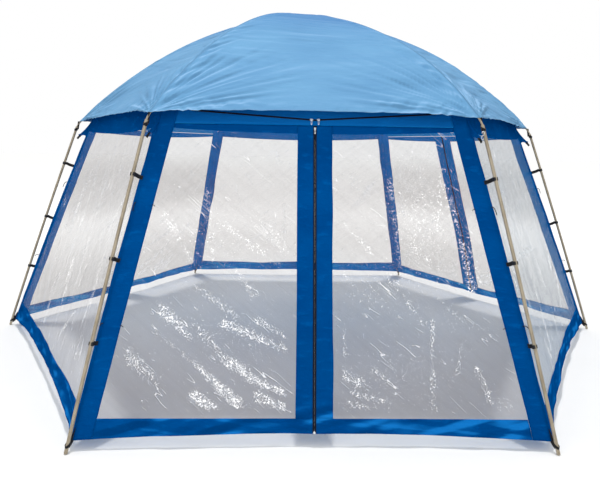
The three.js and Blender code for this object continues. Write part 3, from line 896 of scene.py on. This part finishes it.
def wall_block(name, sector, centre, outline, depth, body, bevel=0.0008, turn=0.0, hole=None):
    """A small metal plate that lies on a wall: an outline in the wall's plane, with rounded edges."""
    right, up, out = wall_axes(sector)
    c, s = math.cos(turn), math.sin(turn)
    plane = np.array([right * c + up * s, up * c - right * s])
    rings = [np.array(shape) @ plane + centre for shape in (outline, hole) if shape]
    points = np.concatenate([layer for ring in rings for layer in (ring, ring + out * depth)])
    n = len(outline)
    faces = [] if hole else [list(range(n))[::-1], [n + i for i in range(n)]]
    for i in range(n):
        j = (i + 1) % n
        faces.append([i, j, n + j, n + i])
        if hole:
            faces.append([2 * n + j, 2 * n + i, 3 * n + i, 3 * n + j])
            faces += [[j, i, 2 * n + i, 2 * n + j], [n + i, n + j, 3 * n + j, 3 * n + i]]
    obj = make(name, points, faces, METAL, shade=False)
    m = obj.modifiers.new("edges", "BEVEL")
    m.width, m.segments, m.limit_method = bevel, 2, "ANGLE"
    return finish(obj, body, "zip_metal")


def oval(width, length, count=16):
    a = np.arange(count) * 2 * math.pi / count
    return [(width / 2 * np.sign(math.cos(t)) * abs(math.cos(t)) ** 0.6,
             length / 2 * np.sign(math.sin(t)) * abs(math.sin(t)) ** 0.6) for t in a]


def slider(door, name, sector, u, z, turn, body):
    """Zip slider: a tapered body, a bridge over it, and a pull that hangs from the bridge."""
    at = wall_points(sector, u, z, SLIDER_OUT)
    edge = [(0.0032, -0.0095), (0.0052, -0.002), (0.0055, 0.0055), (0.0032, 0.0095), (0.001, 0.007)]
    outline = [(-edge[0][0], edge[0][1]), *edge, *[(-x, y) for x, y in edge[:0:-1]]]
    plate = wall_block(f"{door}_{name}_body", sector, at, outline, 0.0030, body, turn=turn)
    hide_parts(f"{door}_{name}")
    right, up, out = wall_axes(sector)
    lengthwise = right * -math.sin(turn) + up * math.cos(turn)
    arch = np.linspace(0, math.pi, 13)
    path = np.outer(np.cos(arch) * 0.0062, lengthwise) + np.outer(0.0028 + np.sin(arch) * 0.0032, out) + at
    finish(sweep(f"{door}_{name}_bridge", path, strap_section(0.0028, 0.0012), METAL, out), body, "zip_metal")
    grip = at + out * 0.0048 - up * 0.0175
    wall_block(f"{door}_{name}_pull", sector, grip, oval(0.0078, 0.030), 0.0014, body, 0.0004,
               hole=oval(0.0040, 0.018))


def pane_wall(name, sector, roof):
    """A fixed wall: bottom band, top band and one crumpled film between the corner strips."""
    def outer(z):
        return half_width(z) - STRIP_ON_PANE + 0.010

    u0 = np.linspace(-1, 1, grid_steps(2 * outer(HEM), 0.016))
    low_u = u0 * outer(HEM)
    tear = 0.012 * hem_noise(low_u * 4 + sector, sector * 1.3) * share_across(low_u, 0.2)
    ragged = BAND_TOP + RAGGED_RISE[sector] + tear
    u, z = rows_between(hem_height(sector, low_u), ragged, low_u, 14)
    u = u * outer(z) / outer(HEM)
    # Painted sheen streaks on the bottom band.
    base = band(f"{name}_bottom_band", sector, u, z, "house", seam=(ragged[None] - z, z - z[:1]), streaks=0.5)
    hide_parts(name)
    top_u = u0 * outer(1.7)
    u, z = rows_between(film_top(top_u), roof_meet(sector, top_u * 0.98, roof), top_u, 20)
    u = u * outer(z) / outer(1.7)
    top = band(f"{name}_top_band", sector, u, z, "house", seam=(z - film_top(u), 1.0))
    creases = scattered_creases(sector, outer(EYE_LEVEL))
    pane = film(f"{name}_film", sector, lambda z: (-outer(z), outer(z)), BAND_TOP, 0.008, "house", creases,
                BAND_TOP + 0.060, math.radians(GRAIN[sector]))


# ---------------------------------------------------------------- corners


def webbing(name, path, section, hint):
    return finish(sweep(name, path, section, WEBBING, hint), "house", "black_plastic")


def strip_side(k, sector, sign):
    """Points, seam distances and UVs of a corner strip's part on one wall."""
    width = STRIP_ON_DOOR if is_door(sector) else STRIP_ON_PANE
    top = WALL_TOP - 0.002
    steps = np.linspace(width, 0, max(5, int(width / 0.011)))
    if sign < 0:
        steps = steps[::-1][1:]
    inset, t = np.meshgrid(steps, np.linspace(0, 1, grid_steps(WALL_TOP - HEM, 0.014)))
    foot = hem_height(sector, sign * (half_width(HEM + (top - HEM) * t) - inset))
    z = foot + (top - foot) * t
    if not is_door(sector):
        inset = inset * (1 + 0.13 * wall_noise(z * 5 + k * 7, 3.3 + k) * (1 - smooth(z, 1.45, 1.6)))
    u = sign * (half_width(z) - inset)
    bow = strip_bow(z) * np.clip(1 - inset / width, 0, 1) ** 1.5
    ripple = 0.002 * wall_noise(z * 7 + k * 3, inset * 14) * smooth(inset, 0, 0.03)
    points = wall_points(sector, u, z, 0.0006 + ripple) + bow[..., None] * outwards(CORNERS[k])
    seam = np.stack([width - inset, z - hem_height(sector, u)], -1)
    return points, seam, np.stack([-sign * inset, slope(z)], -1)


def strip(corner):
    """Cloth folded round a wall corner: wide on the door side, narrow on the pane side."""
    k = CORNERS.index(corner)
    sides = strip_side(k, (k + 1) % 6, 1), strip_side(k, (k + 2) % 6, -1)
    fold = sides[0][0].shape[1] - 1
    points, seam, uv = (np.concatenate(parts, 1) for parts in zip(*sides))
    points[:, fold] = 0.5 * points[:, fold] + 0.25 * (points[:, fold - 1] + points[:, fold + 1])
    obj = grid(f"{corner}_strip_cloth", points, BLUE, uv)
    seam_layer(obj, seam)
    thicken(obj, 0.0014, backing=PAINTED_LIGHT_BACKING)
    finish(obj, "house", "blue_cloth", f"{corner}_corner_strip")


def corner_surface(z):
    """Radius of a strip's folded edge."""
    return wall_radius(z) + strip_bow(z) - 0.004


def fin(corner):
    """Triangular cloth flap from the strip to a webbing tab near the leg's top."""
    t, s = np.meshgrid(np.linspace(0, 1, 26), np.linspace(0, 1, 22), indexing="ij")
    z0 = 1.600 + 0.200 * s
    base = np.stack([corner_surface(z0), z0], -1)
    end = np.stack([1.852 + 0.004 * s, 1.590 + 0.024 * s], -1)
    hollow = (0.045 * s**2 + 0.012 * (1 - s) ** 2) * np.sin(math.pi * t) * np.abs(2 * s - 1)
    inwards = np.stack([-0.35 * np.ones_like(s), np.where(s > 0.5, -1.0, 1.0)], -1)
    p = base * (1 - t[..., None]) + end * t[..., None] + inwards * hollow[..., None]
    sway = 0.004 * wall_noise(t * 3 + CORNERS.index(corner) * 5, s * 3) * np.sin(math.pi * t)
    obj = grid(f"{corner}_fin_cloth", radial(corner, p[..., 0], sway, p[..., 1]), BLUE, p)
    seam_layer(obj, np.stack([np.minimum(s, 1 - s) * 0.1 * (1.1 - t), np.ones_like(s)], -1))
    thicken(obj, 0.0012, 0.0)
    finish(obj, "house", "blue_cloth")
    path = radial(corner, np.array([1.838, 1.848, 1.858, 1.866]), 0.0, np.array([1.606, 1.598, 1.589, 1.578]))
    webbing(f"{corner}_fin_tab", path, strap_section(0.016, 0.003), across(corner))


def leg(corner):
    """Leaning tube with rounded ends, and a sleeve at each of its two joints."""
    tilted_foot = 0.0028  # the cut end leans with the leg, and its low side rests on the ground
    foot = np.array([0.0, 0.0004, 0.0015]) + tilted_foot
    z = np.concatenate([foot, np.linspace(0.01, LEG_TOP - 0.002, 60), [LEG_TOP - 0.0008, LEG_TOP]])
    scale = np.ones(len(z))
    scale[0], scale[1], scale[-1], scale[-2] = 0.8, 0.93, 0.82, 0.95
    path = radial(corner, leg_radius(z), 0.0, z)
    tube = sweep(f"{corner}_leg_tube", path, circle(LEG_RADIUS, 20), STEEL, across(corner), scale)
    finish(tube, "house", "painted_steel", f"{corner}_leg")
    for low in (0.62, 1.18):
        z = np.array([0.0, 0.0008, 0.003, 0.027, 0.0292, 0.030]) + low
        sleeve = sweep(f"{corner}_leg_joint_{round(low * 100)}", radial(corner, leg_radius(z), 0.0, z),
                       circle(LEG_RADIUS + 0.0006, 20), STEEL, across(corner), [0.95, 0.99, 1, 1, 0.99, 0.95])
        finish(sleeve, "house", "painted_steel")


SETTLE_AT, SETTLE = (0.55, -0.52), 0.042  # the rods give a little on the right of the crown


def settle(x, y):
    """How far the crown has sunk there."""
    reach = np.hypot(x - SETTLE_AT[0], y - SETTLE_AT[1])
    return SETTLE * (1 - smooth(reach, 0.15, 0.85)) * smooth(np.hypot(x, y), 0.08, 0.40)


def rod_path():
    """Radius and height along a rod, from its place in the leg to the hub."""
    ridge_r = np.linspace(ROD_BEND_AT, 0.027, 48)
    tilt = np.arctan(2 * ROOF_DROP * ridge_r)
    ridge_z = CROWN - ROOF_DROP * ridge_r**2 - ROD_DEPTH * np.cos(tilt)
    ridge = np.stack([ridge_r - ROD_DEPTH * np.sin(tilt), ridge_z], -1)
    fall = 2 * ROOF_DROP * ROD_BEND_AT
    kink_z = (ridge[0, 1] + fall * (ridge[0, 0] - SPREAD)) / (1 - fall * LEG_LEAN)
    inside, start, kink = (np.array([SPREAD - LEG_LEAN * z, z]) for z in (LEG_TOP - 0.07, LEG_TOP, kink_z))
    t = np.linspace(0, 1, 14)[:, None]
    bend = start * (1 - t) ** 2 + 2 * kink * t * (1 - t) + ridge[0] * t**2
    return np.concatenate([[inside], bend[:-1], ridge])


def rod(corner):
    """Bent roof rod, with a ferrule at each of its two joints."""
    path = rod_path()
    points = radial(corner, path[:, 0], 0.0, path[:, 1])
    points[:, 2] -= settle(points[:, 0], points[:, 1])
    obj = sweep(f"{corner}_rod_tube", points, circle(ROD_RADIUS, 14), ROD, across(corner))
    finish(obj, "house", "fibre_rod", f"{corner}_roof_rod")
    for index in (27, 42):
        t = np.array([0.0, 0.02, 0.5, 0.98, 1.0])[:, None]
        ferrule = points[index] * (1 - t) + points[index + 1] * t
        obj = sweep(f"{corner}_rod_ferrule_{index}", ferrule, circle(ROD_RADIUS + 0.0011, 16), METAL,
                    across(corner), [0.9, 1, 1, 1, 0.9])
        finish(obj, "house", "zip_metal")


def clip(corner, level):
    """Moulded C round the leg, on a webbing tab sewn to the strip."""
    z, tilt = CLIP_HEIGHTS[level], math.atan(LEG_LEAN)
    ahead, up = outwards(corner), np.array([0.0, 0.0, 1.0])
    axis = up * math.cos(tilt) - ahead * math.sin(tilt)
    inward = -(ahead * math.cos(tilt) + up * math.sin(tilt))
    angles = np.linspace(-math.radians(144), math.radians(144), 31)
    radius = LEG_RADIUS + 0.0026
    ring = np.cos(angles)[:, None] * inward + np.sin(angles)[:, None] * np.cross(axis, inward)
    lip = np.ones(len(angles))
    lip[0] = lip[-1] = 0.7
    w, t, c = 0.010, 0.0021, 0.0008  # half width, half thickness and rounding of its section
    section = [(-w, -t + c), (-w + c, -t), (w - c, -t), (w, -t + c)]
    section += [(-x, -y) for x, y in section]
    hook = sweep(f"{corner}_{level}_clip_hook", radial(corner, leg_radius(z), 0.0, z) + radius * ring,
                 upright(np.array(section)), PLASTIC, axis, lip)
    finish(hook, "house", "black_plastic", f"{corner}_{level}_clip")
    end = leg_radius(z) - (radius + 0.0016) / math.cos(tilt) + 0.001
    sewn = z - TAB_FALL[level]
    start = corner_surface(sewn) - 0.002
    s = np.linspace(0, 1, 12)
    height = sewn + TAB_FALL[level] * s - 0.003 * np.sin(math.pi * s)
    line = radial(corner, start + (end - start) * s, 0.0, height)
    webbing(f"{corner}_{level}_clip_tab", line, strap_section(0.023, 0.0036), across(corner))


def loop_round_leg(name, corner, height, tilt, gap, width):
    """Webbing loop round the leg: tilt is how much higher its inner side is."""
    turn = np.linspace(0, 2 * math.pi, 25)
    z, radius = height + tilt * np.cos(turn), LEG_RADIUS + gap
    ring = radial(corner, leg_radius(z) - radius * np.cos(turn), radius * np.sin(turn), z)
    webbing(f"{corner}_{name}", ring, upright(strap_section(width, 0.0020)), (0, 0, 1))


def straps(corner):
    """Foot strap from the hem to the leg, and the loop that holds the leg's top in the canopy."""
    s = np.linspace(0, 1, 12)
    for word, z0, z1 in (("upper", 0.110, 0.052), ("lower", 0.066, 0.030)):
        r0, r1 = corner_surface(z0) - 0.003, leg_radius(z1) - LEG_RADIUS
        line = radial(corner, r0 + (r1 - r0) * s, 0.0, z0 + (z1 - z0) * s - 0.003 * np.sin(math.pi * s))
        webbing(f"{corner}_foot_strap_{word}", line, strap_section(0.018, 0.0022), across(corner))
    loop_round_leg("foot_ring", corner, 0.044, 0.008, 0.0014, 0.014)
    loop_round_leg("top_ring", corner, 1.652, 0.006, 0.0013, 0.020)
    s = np.linspace(0, 1, 10)
    line = radial(corner, leg_radius(1.66) - 0.012 - 0.012 * s, 0.004, 1.655 + 0.062 * s)
    webbing(f"{corner}_top_strap", line, strap_section(0.016, 0.0022), across(corner))


def tie_cords(corner):
    """At a strip's two cross seams: a narrow tape over the strip, and a black cord's end beyond each edge."""
    k = CORNERS.index(corner)
    sector, sign = ((k + 1) % 6, 1) if k % 2 else ((k + 2) % 6, -1)
    for z0, reach, fall in ((0.600, 0.030, 0.004), (1.215, 0.034, 0.040)):
        label = round(z0 * 100)
        inset, rise = np.meshgrid(np.linspace(0.004, STRIP_ON_DOOR - 0.002, 9), np.linspace(-0.007, 0.007, 3))
        z = z0 + rise + 0.10 * (0.045 - inset)
        u, seam = sign * (half_width(z) - inset), (1.0, 0.007 - np.abs(rise))
        tape = band(f"{corner}_cross_tape_{label}", sector, u, z, "house", 0.0024, seam, 0.0009)
        s = np.linspace(0, 1, 16)
        curl = z0 + 0.008 + 0.006 * np.sin(math.pi * s) - fall * s**2
        line = radial(corner, corner_surface(z0) - 0.003 + reach * s, 0.010 * s, curl)
        webbing(f"{corner}_tie_cord_{label}", line, circle(0.0024, 8), across(corner))
        u = sign * (half_width(z0) - STRIP_ON_DOOR + 0.006 - 0.016 * s)
        line = wall_points(sector, u, z0 - 0.003 - 0.008 * s**2, 0.005)
        webbing(f"{corner}_cord_tip_{label}", line, circle(0.0020, 8), (0, 0, 1))


def hook(corner):
    """S-shaped wire hook that hangs from the loop at a leg's top."""
    t = np.linspace(0, 1, 49)
    bend = 3 * math.pi * (t - 0.5)
    angle = np.where(t > 0.5, math.pi * 1.5, -math.pi * 0.5) - bend
    z = 1.617 + np.where(t > 0.5, -1, 1) * 0.0115 * (1 + np.sin(angle))
    path = radial(corner, leg_radius(1.62) + 0.002, 0.0095 * np.cos(angle) - 0.016, z)
    wire = sweep(f"{corner}_wire_hook", path, circle(0.0020, 10), METAL, outwards(corner))
    finish(wire, "house", "zip_metal")


# ---------------------------------------------------------------- canopy

roof_noise, roof_waves, roof_fine = Field(31), Field(32), Field(33)
CANOPY_COLUMNS, CANOPY_ROWS = 92, 160  # in one gore
GORE_LENGTH = 2.02


def slack_folds(k, rho, sag, width, down):
    """Level folds between two ridges, with sharp creases and streaks where the cloth is looser."""
    inner = smooth(rho, 0.15, 0.45) * smooth(sag, 0.05, 0.4)
    level = roof_waves(width * 1.5 + k * 13, down * 9 + width * 1.2 + k * 7)
    loose = smooth(roof_noise(width * 1.6 + k * 5 + 0.6, down * 1.7 + 3), -0.35, 0.45)
    sharp = 1 - np.abs(roof_noise(width * 1.5 + k * 21, down * 15 - width * 2.2 + k * 3)) * 3.0
    streaks = roof_fine(width * 2.6 + k * 3, down * 27 - width * 2.5) * (0.35 + 0.65 * smooth(rho, 0.35, 1.0))
    return inner * (0.0075 * level + loose * (0.0030 * streaks - 0.0055 * np.clip(sharp, 0, 1) ** 1.5))


def corner_folds(k, sign, rho, from_ridge):
    """Folds that fan out from an eave corner, pleats along its ridge, and puckers at the eave."""
    along_ridge = (1 - rho) * EAVE_RADIUS * 1.25
    reach = np.hypot(from_ridge, along_ridge)
    angle = np.arctan2(along_ridge, from_ridge + 1e-6)
    fan = roof_noise(angle * 19 + k * 4 + sign, reach * 2.4 + k)
    fan = fan * smooth(reach, 0.03, 0.12) * (1 - smooth(reach, 0.35, 0.95)) * smooth(from_ridge, 0.0, 0.05)
    slant = (along_ridge * 30 - from_ridge * 42) / 1.6
    pleat = roof_fine(slant + k * 9, (along_ridge + from_ridge) * 6 + sign * 3)
    pleat = pleat * smooth(from_ridge, 0.002, 0.02) * (1 - smooth(from_ridge, 0.06, 0.16))
    pleat = pleat * (1 - smooth(along_ridge, 0.45, 1.3) * 0.7)
    pucker = roof_fine(from_ridge * 38 + along_ridge * 30 + k * 8, along_ridge * 12)
    pucker = pucker * (1 - smooth(along_ridge, 0.04, 0.13)) * (1 - smooth(from_ridge, 0.30, 0.85) * 0.8)
    pucker = pucker * smooth(from_ridge, 0.01, 0.04)
    return 0.0065 * fan + 0.0085 * pleat + 0.0065 * pucker


def gore(k, rho, s):
    """Points, UVs, seam distances and painted light and shade of the canopy between two ridges: slack,
    creased and hemmed.
    """
    sag = np.sin(math.pi * s)
    r = rho * EAVE_RADIUS * (1 - 0.012 * sag * smooth(rho, 0.75, 1.0))
    z = CROWN - ROOF_DROP * r**2 - 0.010 * smooth(r, EAVE_RADIUS - 0.16, EAVE_RADIUS) * (1 - sag) ** 3
    lean = np.arctan(2 * ROOF_DROP * r / COS_HALF)
    width, down = (s - 0.5) * r, rho * GORE_LENGTH
    from_seam, from_eave = np.minimum(s, 1 - s) * r, (1 - rho) * EAVE_RADIUS * 1.3
    folds = slack_folds(k, rho, sag, width, down)
    folds = folds + corner_folds(k, -1, rho, s * r) + corner_folds(k, 1, rho, (1 - s) * r)
    # Painted light and shade: lighter or darker by the slopes of the folds, painted shade in the groove along
    # each seam, and a painted highlight beside it.
    tilt = np.gradient(folds, axis=0) / np.gradient(down, axis=0)
    tilt = tilt + 0.4 * np.gradient(folds, axis=1) / np.maximum(np.gradient(width, axis=1), 1e-4)
    groove = 0.75 * (1 - smooth(from_seam, 0.004, 0.014))
    groove = groove - 0.3 * np.exp(-(((from_seam - 0.024) / 0.008) ** 2))
    painted_light_and_shade = np.clip(2.4 * tilt - groove, -1, 1) * smooth(rho, 0.05, 0.2)
    # height above the taut gore, along its normal: slack, folds, and the doubled cloth of hem and seam
    h = folds - 0.014 * sag * smooth(rho, 0.12, 0.6) * (1 - 0.5 * smooth(rho, 0.7, 1.0))
    h = h - 0.006 * sag * smooth(rho, 0.8, 1.0) + 0.0012 * (1 - smooth(from_eave, 0.020, 0.024))
    h = h + 0.0012 * (1 - smooth(from_seam, 0.022, 0.026)) * smooth(rho, 0.02, 0.05)
    out = h * np.sin(lean) * smooth(from_seam, 0.0, 0.05)
    first, middle, last = k * SECTOR, (k + 0.5) * SECTOR, (k + 1) * SECTOR
    x = r * (math.cos(first) * (1 - s) + math.cos(last) * s) + out * math.cos(middle)
    y = r * (math.sin(first) * (1 - s) + math.sin(last) * s) + out * math.sin(middle)
    points = np.stack([x, y, z + h * np.cos(lean) - settle(x, y)], -1)
    uv = np.stack([width + k * 3.0, down], -1)
    return points, uv, np.stack([from_seam + 0.0001, from_eave + 0.006], -1), painted_light_and_shade


def canopy():
    """One sheet over all six rods, as rows of points round the crown. Returns it for the walls to meet."""
    s = np.linspace(0, 1, CANOPY_COLUMNS + 1)[:-1]
    s = s - np.sin(2 * math.pi * s) * 0.085  # closer together near the ridges
    rows = 1 - (1 - np.linspace(0, 1, CANOPY_ROWS + 1)[1:]) ** 1.25
    rho, s = np.meshgrid(rows, s, indexing="ij")
    gores = [gore(k, rho, s) for k in range(6)]
    points, uv, seam, painted_light_and_shade = (np.concatenate(parts, 1) for parts in zip(*gores))
    count = points.shape[1]
    faces = [[0, 1 + j, 1 + (j + 1) % count] for j in range(count)]
    faces += [list(f) for f in grid_faces(CANOPY_ROWS, count, wrap=True)[:, ::-1] + 1]

    def with_crown(crown, values):
        return np.concatenate([[crown], values.reshape(-1, len(crown))])

    obj = make("canopy_cloth", with_crown((0, 0, CROWN), points), faces, ROOF, with_crown((0, 0), uv))
    seam_layer(obj, with_crown((0.05, 2.0), seam))
    # Painted light and shade for the canopy's material.
    per_point(obj, "painted_light_and_shade", with_crown((0.0,), painted_light_and_shade))
    thicken(obj, 0.0011, -1.0)
    finish(obj, "house", "canopy_cloth", "canopy")
    return BVHTree.FromPolygons([v.co for v in obj.data.vertices], [p.vertices for p in obj.data.polygons])


# ---------------------------------------------------------------- studio

SKY_AT_HORIZON, SKY_AT_ZENITH = 0.30, 1.1


def make_stage():
    """A wide floor, and a white background under a sky that lights more from above."""
    ground = [(-60, -60, 0), (60, -60, 0), (60, 90, 0), (-60, 90, 0)]
    make("studio_floor", ground, [[0, 1, 2, 3]], FLOOR)
    world = bpy.data.worlds.new("studio")
    world.use_nodes = True
    tree = world.node_tree
    backdrop = tree.nodes["Background"]
    sky, direction, parts, level, rays, mix = (
        tree.nodes.new("ShaderNode" + kind)
        for kind in ("Background", "TexCoord", "SeparateXYZ", "MapRange", "LightPath", "MixShader")
    )
    backdrop.inputs["Color"].default_value = sky.inputs["Color"].default_value = WHITE
    for key, value in enumerate((0.0, 1.0, SKY_AT_HORIZON, SKY_AT_ZENITH)):
        level.inputs[key + 1].default_value = value
    for output, socket in (
        (direction.outputs["Generated"], parts.inputs[0]), (parts.outputs[2], level.inputs[0]),
        (level.outputs[0], sky.inputs["Strength"]), (rays.outputs["Is Camera Ray"], mix.inputs[0]),
        (sky.outputs[0], mix.inputs[1]), (backdrop.outputs[0], mix.inputs[2]),
        (mix.outputs[0], tree.nodes["World Output"].inputs[0]),
    ):
        tree.links.new(output, socket)
    bpy.context.scene.world = world
    bpy.context.scene.view_settings.view_transform = "Standard"


def lamp(name, place, target, size, power):
    """A square panel of light; size is its width in metres."""
    data = bpy.data.lights.new(name, "AREA")
    data.energy = power
    data.size = size
    obj = bpy.data.objects.new(name, data)
    obj.location = place
    obj.rotation_euler = (Vector(target) - Vector(place)).to_track_quat("-Z", "Y").to_euler()
    bpy.context.scene.collection.objects.link(obj)


camera()
for door, sector in DOORS.items():
    door_half(door, "left", sector, -1)
    door_half(door, "right", sector, 1)
roof = canopy()
for door, sector in DOORS.items():
    header(door, sector, roof)
    upright_zip(door, sector)
    slider(door, "slider", sector, 0.0, DOOR_TOP - 0.020, 0.0, f"{door}_zip")
    slider(door, "top_left_slider", sector, -0.020, TOP_ZIP + 0.0013, math.pi / 2, f"{door}_top_zip_left")
    slider(door, "top_right_slider", sector, 0.020, TOP_ZIP + 0.0013, -math.pi / 2, f"{door}_top_zip_right")
for name, sector in PANES.items():
    pane_wall(name, sector, roof)
for corner in CORNERS:
    strip(corner)
    fin(corner)
    leg(corner)
    rod(corner)
    straps(corner)
    tie_cords(corner)
    for level in CLIP_HEIGHTS:
        clip(corner, level)
hook("front_right")
hub = frame["nodes"]["crown_hub"]
hub.data.materials.clear()
hub.data.materials.append(PLASTIC)

make_stage()
lamp("top", (0.0, 0.0, 15.6), (0, 0, 0), 1.0, 930)
lamp("front", (-1.5, -7.0, 3.4), (0, 0, 1.0), 4.0, 70)
